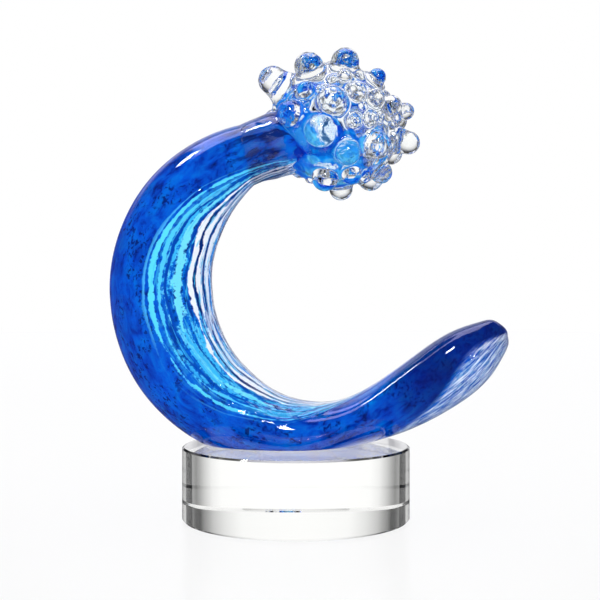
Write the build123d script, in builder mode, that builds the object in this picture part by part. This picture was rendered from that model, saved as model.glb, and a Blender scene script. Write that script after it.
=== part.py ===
"""Glass wave sculpture: a curling wave of cased art glass, crowned with froth, on a round crystal base.

The wave is one cased rod, bent hot into a curl. A blue core runs inside a clear casing from the neck to the
tail, where the rod is flattened into a paddle and twisted. Its foot is ground flat and bonded to the base.
The froth is a gathered head at the neck, clear over a blue core, with clear drops set on it one by one, each
a ball on a flared root.

Frame: millimetres, +Z up, the curl in the XZ plane and its open mouth towards +X, seen from -Y.
The origin is the centre of the base's underside.
"""

from build123d import *
import math
import os

# ---- Driving dimensions ---------------------------------------------------------------------------------

# Crystal base
BASE_DIAMETER = 100.0
BASE_HEIGHT = 32.0
BASE_BEVEL = 0.8  # polished bevel on both rims
BOND_THICKNESS = 0.2  # clear adhesive between the base and the wave's foot

# Curl: a crescent between an outer arc and the round hollow inside it
CURL_RADIUS = 76.3
CURL_OFFSET = -6.0  # of the curl's centre from the base's axis, along X
HOLLOW_INSET = 21.4  # how much less the hollow's radius is than the curl's
HOLLOW_SHIFT = (24.0, 3.6)  # of the hollow's centre from the curl's centre, along X and Z
FOOT_GRIND = 8.0  # how much of the curl's lowest point is ground away to make the foot
NECK_ANGLE = 77.0  # where the rod ends inside the froth, counted anticlockwise from +X
NECK_TAPER = 1.9  # drawn off the half-thickness at the neck's end
TAPER_ANGLE = 140.0  # where that taper starts
TAIL_ANGLE = 272.0  # where the curl ends and the tail begins
CURL_STATIONS = 13

# Half-widths of the rod, square to the curl's plane
NECK_HALF_WIDTH = 12.5
BELLY_HALF_WIDTH = 23.5  # at the curl's far left
FOOT_HALF_WIDTH = 25.0

# Tail: step from the station before, heading of the step, slope of the section's normal,
# half-thickness, half-width and twist, in millimetres and degrees
TAIL_STATIONS = (
    (24.9, 4.3, 13.0, 11.2, 24.5, 8.0),
    (22.2, 20.5, 26.0, 11.9, 24.5, 18.0),
    (26.2, 30.6, 34.0, 12.6, 24.0, 28.0),
    (19.6, 35.9, 38.0, 10.1, 20.0, 32.0),
    (9.0, 39.5, 38.0, 7.0, 14.5, 34.0),
    (4.5, 35.4, 36.0, 4.9, 9.5, 35.0),
    (2.4, 20.0, 34.0, 2.6, 5.0, 35.0),
)

# Casing of clear glass over the blue core
CASING_WALL = 2.0
CASING_AT_FOOT = 1.5
CORE_TAIL_STATIONS = 6  # of the tail's stations that the core reaches

# Froth head: a ball of glass gathered round the neck's end, with an axis that leans out of the curl
HEAD_RADIUS = 27.0
HEAD_ANGLE = 72.4  # where its centre stands on the curl, counted anticlockwise from +X
HEAD_INSET = 0.24  # of its centre within the curl's outer arc
HEAD_LEAN = 44.0  # of its axis above +X
HEAD_WALL = 3.0  # of clear glass over the head's blue core

# Froth drops: each is a ball on a flared root, which seats on the head
DROP_RISE = 0.6  # of a ball's centre above the head, as a share of its radius
ROOT_FLARE = 1.06  # radius of the root on the head, as a share of the ball's
WAIST_HEIGHT = 0.35  # from the ball's centre down to where the root meets it, as a share of the ball's radius
FLANK_HOLLOW = 0.1  # how far the root's flank is drawn in, as a share of the ball's radius

NECK_CLEAR_ANGLE = 95.0  # past this polar angle a drop may meet the neck, and is cut to it

# The drops in front and round the silhouette: polar angle from the head's axis, azimuth from the head's
# lower side towards the viewer, and the ball's radius
FRONT_DROPS = (
    (75, 148, 5.6), (47, 134, 5.4), (24, 96, 3.5), (43, 52, 4.2), (89, 0, 4.4), (105, 16, 2.2),
    (113, 36, 3.9), (134, 46, 5.0), (81, 46, 5.3), (69, 66, 2.8), (82, 76, 2.4), (84, 101, 5.2),
    (62, 94, 3.8), (50, 76, 3.4), (109, 90, 5.9), (116, 124, 5.0), (93, 127, 3.4), (63, 28, 2.5),
    (104, 60, 4.8), (58, 115, 2.6),
)
# Drops drawn out further than the rest, with the rise of the ball's centre as a fourth value
DRAWN_DROPS = ((101, 170, 5.7, 7.0), (36, 20, 3.4, 5.3), (57, 0, 4.6, 7.0))
# Rows on the side away from the viewer: polar angle, radius of the balls, and the degrees that the row keeps
# from the silhouette at each end
BACK_ROWS = ((40, 4.8, 30), (68, 4.9, 22), (96, 5.3, 23), (123, 4.8, 30))
BACK_ROW_COUNTS = (3, 5, 5, 4)  # of drops in each of those rows

PARTS_FOLDER = "parts"


# ---- Places worked out from the dimensions --------------------------------------------------------------

HOLLOW_RADIUS = CURL_RADIUS - HOLLOW_INSET
FOOT_Z = BASE_HEIGHT + BOND_THICKNESS
CURL_CENTRE = Vector(CURL_OFFSET, 0, FOOT_Z + CURL_RADIUS - FOOT_GRIND)


def in_plane(degrees):
    """A direction in the curl's plane, at an angle counted anticlockwise from +X."""
    return Vector(math.cos(math.radians(degrees)), 0, math.sin(math.radians(degrees)))


def hollow_reach(degrees):
    """Distance from the curl's centre to the hollow's wall at an angle: where a ray meets the hollow's circle."""
    along = in_plane(degrees).dot(Vector(HOLLOW_SHIFT[0], 0, HOLLOW_SHIFT[1]))
    shift_squared = HOLLOW_SHIFT[0] ** 2 + HOLLOW_SHIFT[1] ** 2
    return along + math.sqrt(along**2 - shift_squared + HOLLOW_RADIUS**2)


def eased(low, high, share):
    """A value between low and high that starts and ends gently."""
    return low + (high - low) * (1 - math.cos(math.pi * share)) / 2


class Station:
    """One cross-section of the rod: an ellipse, square to the rod, with its width towards the viewer."""

    def __init__(self, centre, slope, half_thickness, half_width, twist=0.0):
        self.centre = centre
        self.slope = slope
        self.half_thickness = half_thickness
        self.half_width = half_width
        self.twist = twist

    def plane(self):
        return Plane(origin=self.centre, x_dir=(0, -1, 0), z_dir=in_plane(self.slope))


def curl_station(degrees):
    """The crescent's section at an angle about the curl's centre."""
    inner = hollow_reach(degrees)
    taper = eased(NECK_TAPER, 0, min((degrees - NECK_ANGLE) / (TAPER_ANGLE - NECK_ANGLE), 1))
    middle = (CURL_RADIUS + inner) / 2
    centre = CURL_CENTRE + in_plane(degrees) * middle
    belly_share = (degrees - NECK_ANGLE) / (180.0 - NECK_ANGLE)
    if belly_share < 1:
        half_width = eased(NECK_HALF_WIDTH, BELLY_HALF_WIDTH, belly_share)
    else:
        foot_share = (degrees - 180.0) / (TAIL_ANGLE - 180.0)
        half_width = eased(BELLY_HALF_WIDTH, FOOT_HALF_WIDTH, foot_share)
    return Station(centre, degrees + 90.0, (CURL_RADIUS - inner) / 2 - taper, half_width)


def rod_stations():
    """Every section of the rod, from the neck round the curl and along the tail to its tip."""
    step = (TAIL_ANGLE - NECK_ANGLE) / (CURL_STATIONS - 1)
    stations = [curl_station(NECK_ANGLE + step * i) for i in range(CURL_STATIONS)]
    centre = stations[-1].centre
    for length, heading, slope, half_thickness, half_width, twist in TAIL_STATIONS:
        centre = centre + in_plane(heading) * length
        stations.append(Station(centre, slope + 360.0, half_thickness, half_width, twist))
    return stations


STATIONS = rod_stations()
CORE_STATIONS = STATIONS[: CURL_STATIONS + CORE_TAIL_STATIONS]

HEAD_CENTRE = CURL_CENTRE + in_plane(HEAD_ANGLE) * (CURL_RADIUS - HEAD_INSET)
HEAD_AXIS = in_plane(HEAD_LEAN)
HEAD_DOWN = Vector(HEAD_AXIS.Z, 0, -HEAD_AXIS.X)
TOWARDS_VIEWER = Vector(0, -1, 0)


def drop_places():
    """(polar, azimuth, radius, rise) of every drop: those placed by eye in front, and the rows behind."""
    places = [(polar, azimuth, radius, DROP_RISE * radius) for polar, azimuth, radius in FRONT_DROPS]
    places += DRAWN_DROPS
    for (polar, radius, margin), count in zip(BACK_ROWS, BACK_ROW_COUNTS):
        pitch = (180.0 - 2 * margin) / (count - 1)
        places += [(polar, -margin - pitch * i, radius, DROP_RISE * radius) for i in range(count)]
    return places


def bent_rod(stations, wall, lowest):
    """A rod lofted through its stations, smaller than them by a wall all round, and cut flat at its lowest height."""
    with BuildPart() as rod:
        for station in stations:
            half_width = station.half_width - wall
            half_thickness = station.half_thickness - wall
            with BuildSketch(station.plane()):
                with BuildLine():
                    for start in (0, 180):
                        EllipticalCenterArc(
                            (0, 0), half_width, half_thickness, start, arc_size=180, rotation=-station.twist
                        )
                make_face()
        loft()
        split(bisect_by=Plane.XY.offset(lowest), keep=Keep.TOP)
    return rod


def froth_drop(polar, azimuth, radius, rise, neck):
    """A drop turned about its own axis, square on the head. Its root is hollowed to seat there and clears the neck."""
    tilt, turn = math.radians(polar), math.radians(azimuth)
    sideways = HEAD_DOWN * math.cos(turn) + TOWARDS_VIEWER * math.sin(turn)
    outward = HEAD_AXIS * math.cos(tilt) + sideways * math.sin(tilt)
    root = radius * ROOT_FLARE
    root_depth = HEAD_RADIUS - math.sqrt(HEAD_RADIUS**2 - root**2)
    waist = radius * math.sqrt(1 - WAIST_HEIGHT**2)
    waist_height = rise - radius * WAIST_HEIGHT
    flank = ((root + waist) / 2 - radius * FLANK_HOLLOW, (waist_height - root_depth) / 2)
    with BuildPart() as turned:
        with BuildSketch(Plane.XZ):
            with BuildLine():
                Line((0, -root_depth), (0, rise + radius))
                ThreePointArc((0, rise + radius), (radius, rise), (waist, waist_height))
                ThreePointArc((waist, waist_height), flank, (root, -root_depth))
                Line((root, -root_depth), (0, -root_depth))
            make_face()
        revolve(axis=Axis.Z)
        with Locations((0, 0, -HEAD_RADIUS)):
            Sphere(HEAD_RADIUS, mode=Mode.SUBTRACT)
    with BuildPart() as drop:
        with Locations(Plane(HEAD_CENTRE + outward * HEAD_RADIUS, z_dir=outward).location):
            add(turned.part)
        if polar > NECK_CLEAR_ANGLE:
            add(neck.part, mode=Mode.SUBTRACT)
    return drop


# ---- Sub-parts ------------------------------------------------------------------------------------------

# Crystal base: a solid disc with a polished bevel on both rims
with BuildPart() as base_disc:
    Cylinder(BASE_DIAMETER / 2, BASE_HEIGHT, align=(Align.CENTER, Align.CENTER, Align.MIN))
    chamfer(base_disc.edges().filter_by(GeomType.CIRCLE), BASE_BEVEL)

# Outer form of the rod, from the neck to the tail's tip, with its foot ground flat
wave_form = bent_rod(STATIONS, 0, FOOT_Z)

# Blue core: the same sections less the casing's wall, and clear of the foot
colour_core = bent_rod(CORE_STATIONS, CASING_WALL, FOOT_Z + CASING_AT_FOOT)

# Clear casing: the outer form, hollow where the core is
with BuildPart() as clear_casing:
    add(wave_form.part)
    add(colour_core.part, mode=Mode.SUBTRACT)

# Adhesive film: the shape of the foot, filling the gap to the base
foot_face = wave_form.faces().filter_by(Axis.Z).sort_by(Axis.Z)[0]
with BuildPart() as bond_film:
    with BuildSketch(Plane.XY.offset(FOOT_Z)):
        add(foot_face)
    extrude(amount=-BOND_THICKNESS)

# Froth core: the blue drawn up into the head, with a socket where the neck enters it
with BuildPart() as froth_core:
    with Locations(HEAD_CENTRE):
        Sphere(HEAD_RADIUS - HEAD_WALL)
    add(wave_form.part, mode=Mode.SUBTRACT)

# Froth head: clear glass gathered over that core
with BuildPart() as froth_head:
    with Locations(HEAD_CENTRE):
        Sphere(HEAD_RADIUS)
    add([wave_form.part, froth_core.part], mode=Mode.SUBTRACT)


# ---- Files ----------------------------------------------------------------------------------------------

os.makedirs(PARTS_FOLDER, exist_ok=True)

SUB_PARTS = {
    "base_disc": base_disc,
    "bond_film": bond_film,
    "clear_casing": clear_casing,
    "colour_core": colour_core,
    "froth_core": froth_core,
    "froth_head": froth_head,
}
for number, place in enumerate(drop_places(), start=1):
    SUB_PARTS[f"froth_drop_{number:02d}"] = froth_drop(*place, neck=wave_form)

for name, sub_part in SUB_PARTS.items():
    sub_part.part.label = name
    export_step(sub_part.part, f"{PARTS_FOLDER}/{name}.step")
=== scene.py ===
"""Looks of a glass wave sculpture: a cased blue wave, crowned with clear froth, on a round crystal base.

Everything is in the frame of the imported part: +Z up, the curl in the XZ plane with its open mouth towards +X,
seen from -Y. Meshes and shaders are in metres. The classes of the object keep their sizes in millimetres and
scale them once.
"""

from __future__ import annotations

import logging
import math
from dataclasses import dataclass, field
from enum import Enum
from typing import TypeAlias

import bpy
import numpy as np
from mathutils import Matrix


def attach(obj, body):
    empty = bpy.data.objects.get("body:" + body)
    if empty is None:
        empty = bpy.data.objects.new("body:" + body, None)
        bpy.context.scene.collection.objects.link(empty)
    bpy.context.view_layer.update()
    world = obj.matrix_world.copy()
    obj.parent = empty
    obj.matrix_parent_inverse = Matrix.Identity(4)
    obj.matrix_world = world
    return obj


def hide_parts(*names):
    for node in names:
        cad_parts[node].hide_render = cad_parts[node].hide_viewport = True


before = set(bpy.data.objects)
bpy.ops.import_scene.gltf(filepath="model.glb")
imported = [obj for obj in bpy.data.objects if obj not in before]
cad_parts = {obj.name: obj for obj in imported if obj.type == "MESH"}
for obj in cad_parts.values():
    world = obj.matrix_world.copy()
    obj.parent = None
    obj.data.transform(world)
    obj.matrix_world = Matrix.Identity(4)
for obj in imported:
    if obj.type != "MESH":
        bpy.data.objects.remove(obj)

LOG = logging.getLogger("glass_wave")
MM = 0.001
BODY = "root"

Triple: TypeAlias = tuple[float, float, float]
Colour: TypeAlias = Triple
Stops: TypeAlias = tuple[tuple[float, Colour], ...]
Levels: TypeAlias = tuple[tuple[float, float], ...]
Table: TypeAlias = tuple[tuple[float, ...], tuple[float, ...]]
Socket: TypeAlias = bpy.types.NodeSocket
Reading: TypeAlias = "Socket | float"
Inputs: TypeAlias = dict[str | int, object]
Shade: TypeAlias = "Socket | Triple"


class Slot(Enum):
    """Names of material slots. No piece in this script takes them."""

    CRYSTAL = "crystal"
    CLEAR = "clear_glass"
    BLUE = "blue_glass"
    FROTH = "froth_glass"


# ---- Small numpy tools ----------------------------------------------------------------------------------


def smooth_step(low: float, high: float, value: np.ndarray) -> np.ndarray:
    """Hermite step: 0 below low, 1 above high, and 3t^2 - 2t^3 between.

    Args:
        low: Where the step starts. It may lie above high, and then the step falls.
        high: Where the step ends.
        value: Where the step is read.

    Returns:
        The step, in the shape of value.
    """
    share = np.clip((value - low) / (high - low), 0.0, 1.0)
    return share * share * (3.0 - 2.0 * share)


def eased(low: float, high: float, share: np.ndarray) -> np.ndarray:
    """Half a cosine wave from low at share 0 to high at share 1.

    Args:
        low: Value at the start.
        high: Value at the end.
        share: Where it is read, held between 0 and 1.

    Returns:
        The eased values.
    """
    return low + (high - low) * (1.0 - np.cos(np.pi * np.clip(share, 0.0, 1.0))) / 2.0


def natural_spline(knots: np.ndarray, values: np.ndarray, at: np.ndarray) -> np.ndarray:
    """Cubic spline through the values, with no bend at its ends.

    The second derivatives M solve h0 M0 + 2 (h0 + h1) M1 + h1 M2 = 6 (slope1 - slope0) at each inner knot.

    Args:
        knots: Increasing parameter of each value.
        values: One row a knot.
        at: Parameters to read.

    Returns:
        One row for each parameter.
    """
    count = len(knots)
    step = np.diff(knots)
    slope = np.diff(values, axis=0) / step[:, None]
    matrix = np.eye(count)
    right = np.zeros_like(values)
    inner = np.arange(1, count - 1)
    matrix[inner, inner - 1] = step[:-1]
    matrix[inner, inner] = 2.0 * (step[:-1] + step[1:])
    matrix[inner, inner + 1] = step[1:]
    right[inner] = 6.0 * (slope[1:] - slope[:-1])
    bend = np.linalg.solve(matrix, right)
    cell = np.clip(np.searchsorted(knots, at) - 1, 0, count - 2)
    width = step[cell][:, None]
    left = (knots[cell + 1] - at)[:, None]
    past = (at - knots[cell])[:, None]
    return (
        bend[cell] * left**3 / (6.0 * width)
        + bend[cell + 1] * past**3 / (6.0 * width)
        + (values[cell] / width - bend[cell] * width / 6.0) * left
        + (values[cell + 1] / width - bend[cell + 1] * width / 6.0) * past
    )


def ripples(first: np.ndarray, second: np.ndarray, waves: tuple[Triple, ...]) -> np.ndarray:
    """Mean of crossing sine waves: sin(a first + b second + c) for each wave (a, b, c).

    Args:
        first: First coordinate.
        second: Second coordinate.
        waves: Frequency along each coordinate, and phase.

    Returns:
        Values between -1 and 1.
    """
    total = np.zeros(np.broadcast(first, second).shape)
    for along, across, phase in waves:
        total = total + np.sin(along * first + across * second + phase)
    return total / len(waves)


# ---- Mesh tools -----------------------------------------------------------------------------------------


@dataclass
class Surface:
    """A closed skin of points and faces, with named values at each point."""

    points: np.ndarray
    quads: np.ndarray
    triangles: np.ndarray
    values: dict[str, np.ndarray] = field(default_factory=dict)

    def to_mesh(self, name: str) -> bpy.types.Mesh:
        """Puts the points, faces and values into a mesh, shaded smooth.

        Args:
            name: Name of the mesh.

        Returns:
            The mesh.
        """
        mesh = bpy.data.meshes.new(name)
        mesh.from_pydata(self.points.tolist(), [], self.quads.tolist() + self.triangles.tolist())
        for key, data in self.values.items():
            flat = data.ndim == 1
            layer = mesh.attributes.new(key, "FLOAT" if flat else "FLOAT_VECTOR", "POINT")
            layer.data.foreach_set("value" if flat else "vector", data.astype(np.float32).ravel())
        shade_smooth(mesh)
        mesh.update()
        return mesh


def shade_smooth(mesh: bpy.types.Mesh) -> None:
    """Shades every face of a mesh smooth."""
    mesh.polygons.foreach_set("use_smooth", np.ones(len(mesh.polygons), dtype=bool))


def tube_faces(rings: int, around: int) -> tuple[np.ndarray, np.ndarray]:
    """Faces of a tube of rings, closed by a fan to one pole point at each end.

    The points run ring by ring, then the first pole, then the last pole.

    Args:
        rings: Number of rings.
        around: Points in each ring.

    Returns:
        The quads of the wall, and the triangles of the two fans.
    """
    ring = np.arange(rings - 1)[:, None] * around
    here = np.arange(around)[None, :]
    there = (here + 1) % around
    quads = np.stack([ring + here, ring + there, ring + around + there, ring + around + here], axis=-1)
    first, last = rings * around, rings * around + 1
    side, beside = here[0], there[0]
    start = np.stack([np.full(around, first), beside, side], axis=-1)
    top = (rings - 1) * around
    end = np.stack([np.full(around, last), top + side, top + beside], axis=-1)
    return quads.reshape(-1, 4), np.concatenate([start, end])


def lathe(profile: np.ndarray, around: int) -> Surface:
    """Turns a profile about Z: each point (radius, height) becomes a ring, and both ends close at a pole.

    Args:
        profile: Radius and height of each point, from the lowest ring to the highest.
        around: Points in each ring.

    Returns:
        The closed surface, with its faces outwards.
    """
    turn = np.linspace(0.0, 2.0 * np.pi, around, endpoint=False)
    radius, height = profile[:, 0][:, None], profile[:, 1][:, None]
    level = np.broadcast_to(height, (len(profile), around))
    rings = np.stack([radius * np.cos(turn), radius * np.sin(turn), level], axis=-1)
    poles = np.array([[0.0, 0.0, profile[0, 1]], [0.0, 0.0, profile[-1, 1]]])
    return Surface(np.concatenate([rings.reshape(-1, 3), poles]), *tube_faces(len(profile), around))


def joined(parts: list[Surface]) -> Surface:
    """Several surfaces as one, with no values.

    Args:
        parts: The surfaces.

    Returns:
        One surface that holds them all.
    """
    start = np.cumsum([0] + [len(part.points) for part in parts])
    return Surface(
        np.concatenate([part.points for part in parts]),
        np.concatenate([part.quads + first for part, first in zip(parts, start)]),
        np.concatenate([part.triangles + first for part, first in zip(parts, start)]),
    )


def place(name: str, mesh: bpy.types.Mesh, nodes: tuple[str, ...]) -> bpy.types.Object:
    """Puts a finished mesh into the scene as a piece that stands for CAD nodes.

    Args:
        name: Name of the piece.
        mesh: Its mesh, already in place.
        nodes: The CAD nodes it stands for.

    Returns:
        The piece.
    """
    piece = bpy.data.objects.new(name, mesh)
    bpy.context.scene.collection.objects.link(piece)
    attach(piece, BODY)
    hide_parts(*nodes)
    LOG.info("%s: %d faces", name, len(mesh.polygons))
    return piece


def face_middles(mesh: bpy.types.Mesh) -> np.ndarray:
    """The middle of each face.

    Args:
        mesh: The mesh.

    Returns:
        One row a face, in millimetres.
    """
    flat = np.empty(len(mesh.polygons) * 3, dtype=np.float32)
    mesh.polygons.foreach_get("center", flat)
    return flat.reshape(-1, 3).astype(float) / MM


# ---- Shader tools ---------------------------------------------------------------------------------------


class Sheet:
    """A node tree that is written from left to right, one socket at a time."""

    def __init__(self, tree: bpy.types.NodeTree) -> None:
        """Takes the tree and empties it."""
        self.tree = tree
        self.tree.nodes.clear()

    def node(self, kind: str, inputs: Inputs | None = None, **settings: object) -> bpy.types.Node:
        """Adds a node.

        Args:
            kind: The node's type name, without its prefix.
            inputs: A socket to link, or a plain value, for each input.
            settings: Values of the node's own properties.

        Returns:
            The node.
        """
        made = self.tree.nodes.new("ShaderNode" + kind)
        for key, value in settings.items():
            setattr(made, key, value)
        for key, value in (inputs or {}).items():
            if isinstance(value, Socket):
                self.tree.links.new(value, made.inputs[key])
            else:
                made.inputs[key].default_value = value
        return made

    def attribute(self, name: str) -> Socket:
        """A mesh attribute that holds a vector."""
        return self.node("Attribute", attribute_name=name).outputs["Vector"]

    def split(self, vector: Socket) -> bpy.types.NodeOutputs:
        """The three components of a vector."""
        return self.node("SeparateXYZ", {0: vector}).outputs

    def math(self, operation: str, first: Reading, second: Reading = 0.0, third: Reading = 0.0) -> Reading:
        """The result of a Math node."""
        return self.node("Math", {0: first, 1: second, 2: third}, operation=operation).outputs[0]

    def vectors(self, operation: str, *inputs: Shade) -> bpy.types.NodeOutputs:
        """The vector and the value that a Vector Math node gives."""
        return self.node("VectorMath", dict(enumerate(inputs)), operation=operation).outputs

    def step(self, low: float, high: float, value: Reading) -> Socket:
        """A smooth step of a value.

        Args:
            low: Where the step starts. It may lie above high, and then the step falls.
            high: Where the step ends.
            value: What is read.

        Returns:
            0 before the step and 1 beyond it.
        """
        falling = low > high
        inputs = {"Value": value, "From Min": min(low, high), "From Max": max(low, high)}
        inputs |= {"To Min": 1.0 if falling else 0.0, "To Max": 0.0 if falling else 1.0}
        return self.node("MapRange", inputs, interpolation_type="SMOOTHSTEP").outputs[0]

    def times(self, *factors: Reading) -> Reading:
        """The product of two or more values.

        Args:
            factors: The values.

        Returns:
            The product.
        """
        result = factors[0]
        for factor in factors[1:]:
            result = self.math("MULTIPLY", result, factor)
        return result

    def greatest(self, *values: Reading) -> Reading:
        """The greatest of two or more values.

        Args:
            values: The values.

        Returns:
            The greatest.
        """
        result = values[0]
        for value in values[1:]:
            result = self.math("MAXIMUM", result, value)
        return result

    def ramp(self, value: Reading, stops: Stops) -> Socket:
        """A colour ramp.

        Args:
            value: Where it is read.
            stops: Place and colour of each stop.

        Returns:
            The colour.
        """
        made = self.node("ValToRGB", {0: value})
        band = made.color_ramp
        band.elements[0].position, band.elements[0].color = stops[0][0], (*stops[0][1], 1.0)
        band.elements[1].position, band.elements[1].color = stops[-1][0], (*stops[-1][1], 1.0)
        for where, colour in stops[1:-1]:
            band.elements.new(where).color = (*colour, 1.0)
        return made.outputs[0]

    def blend(self, share: Reading, first: Shade, second: Shade) -> Socket:
        """A mix of two colours.

        Args:
            share: 0 for the first colour and 1 for the second.
            first: The first colour.
            second: The second colour.

        Returns:
            The mixed colour.
        """
        pair = [value if isinstance(value, Socket) else (*value, 1.0) for value in (first, second)]
        return self.node("Mix", {0: share, 6: pair[0], 7: pair[1]}, data_type="RGBA").outputs[2]

    def mixed(self, share: Reading, first: Socket, second: Socket) -> Socket:
        """The first shader at share 0 and the second at share 1."""
        return self.node("MixShader", {0: share, 1: first, 2: second}).outputs[0]

    def seen_through(self, tint: Socket, density: float) -> Socket:
        """A see-through skin whose tint is raised to a density below 1, since light passes it twice.

        Args:
            tint: Its colour.
            density: The power.

        Returns:
            The shader.
        """
        thinned = self.node("Gamma", {"Color": tint, "Gamma": density}).outputs[0]
        return self.node("BsdfTransparent", {"Color": thinned}).outputs[0]

    def clear(self) -> Socket:
        """A shader that lets all light straight through."""
        return self.node("BsdfTransparent", {"Color": (1.0, 1.0, 1.0, 1.0)}).outputs[0]

    def matt(self, colour: Socket, roughness: float) -> Socket:
        """Opaque colour with no gloss of its own, for what lies inside clear glass."""
        inputs = {"Base Color": colour, "Roughness": roughness, "Specular IOR Level": 0.0}
        return self.node("BsdfPrincipled", inputs).outputs[0]

    def glass(self, tint: Colour, ior: float, normal: Socket | None = None) -> Socket:
        """Polished clear glass.

        Args:
            tint: Its colour.
            ior: Its index of refraction.
            normal: The normal to shade with, where the surface has relief.

        Returns:
            The shader.
        """
        inputs: Inputs = {"Base Color": (*tint, 1.0), "Roughness": 0.0, "IOR": ior}
        inputs["Transmission Weight"] = 1.0
        if normal is not None:
            inputs["Normal"] = normal
        return self.node("BsdfPrincipled", inputs).outputs[0]

    def relief(self, depth: float, height: Reading) -> Socket:
        """The normal of a relief of some depth in metres."""
        return self.node("Bump", {"Strength": 1.0, "Distance": depth, "Height": height}).outputs[0]

    def finish(self, shader: Socket, kind: str = "OutputMaterial") -> None:
        """Links the last shader to the output."""
        self.node(kind, {0: shader})


@dataclass(frozen=True)
class Grain:
    """A noise, about 0.3 to 0.7, whose reading place may be stretched along each axis and shifted."""

    scale: float
    detail: float = 3.0
    rough: float = 0.5
    twist: float = 0.0
    stretch: Triple = (1.0, 1.0, 1.0)
    shift: float = 0.0

    def read(self, sheet: Sheet, vector: Socket) -> Socket:
        """Reads the noise at stretch x vector + shift.

        Args:
            sheet: The node sheet.
            vector: The place.

        Returns:
            The value.
        """
        if self.stretch != (1.0, 1.0, 1.0) or self.shift:
            vector = sheet.vectors("MULTIPLY_ADD", vector, self.stretch, (self.shift,) * 3)[0]
        inputs = {"Vector": vector, "Scale": self.scale, "Detail": self.detail, "Roughness": self.rough}
        return sheet.node("TexNoise", {**inputs, "Distortion": self.twist}).outputs["Fac"]


def new_material(name: str) -> tuple[bpy.types.Material, Sheet]:
    """Makes an empty material.

    Args:
        name: Its name.

    Returns:
        The material and its node sheet.
    """
    material = bpy.data.materials.new(name)
    material.use_nodes = True
    return material, Sheet(material.node_tree)


# ---- Finishes -------------------------------------------------------------------------------------------


@dataclass(frozen=True)
class ClearGlass:
    """Fire-polished or ground clear glass, which may be drawn into long ribs along the flow."""

    name: str
    tint: Colour
    ior: float = 1.5
    rib_depth: float = 0.0
    ribs: Grain = Grain(9.0, 2.0, 0.45, 0.25, stretch=(0.10, 1.0, 0.25))
    rib_share: float = 0.8

    def material(self) -> bpy.types.Material:
        """Glass, with ribs in its normal where it has them.

        Returns:
            The material.
        """
        made, sheet = new_material(self.name)
        sheet.finish(sheet.glass(self.tint, self.ior, self._ribbed(sheet) if self.rib_depth else None))
        return made

    def _ribbed(self, sheet: Sheet) -> Socket:
        """Ribs that follow the attribute flow, where the attribute zones has streaks or clear glass.

        Args:
            sheet: The material's node sheet.

        Returns:
            The normal to shade with.
        """
        ribs = self.ribs.read(sheet, sheet.attribute("flow"))
        zones = sheet.split(sheet.attribute("zones"))
        where = sheet.greatest(sheet.times(zones[0], self.rib_share), zones[1])
        return sheet.relief(self.rib_depth, sheet.times(ribs, where))


@dataclass(frozen=True)
class CrinkledGlass:
    """Clear glass with a fine crinkle in its surface, in patches, as where it was gathered in folds."""

    name: str
    tint: Colour = (0.985, 0.995, 1.0)
    ior: float = 1.5
    depth: float = 0.0004
    crinkle: Grain = Grain(260.0, 2.0, 0.5, 0.8)
    patches: Grain = Grain(90.0, 1.0)

    def material(self) -> bpy.types.Material:
        """Glass, with the crinkle in its normal.

        Returns:
            The material.
        """
        made, sheet = new_material(self.name)
        spot = sheet.node("TexCoord").outputs["Object"]
        where = sheet.step(0.42, 0.60, self.patches.read(sheet, spot))
        normal = sheet.relief(self.depth, sheet.times(self.crinkle.read(sheet, spot), where))
        sheet.finish(sheet.glass(self.tint, self.ior, normal))
        return made


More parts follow.
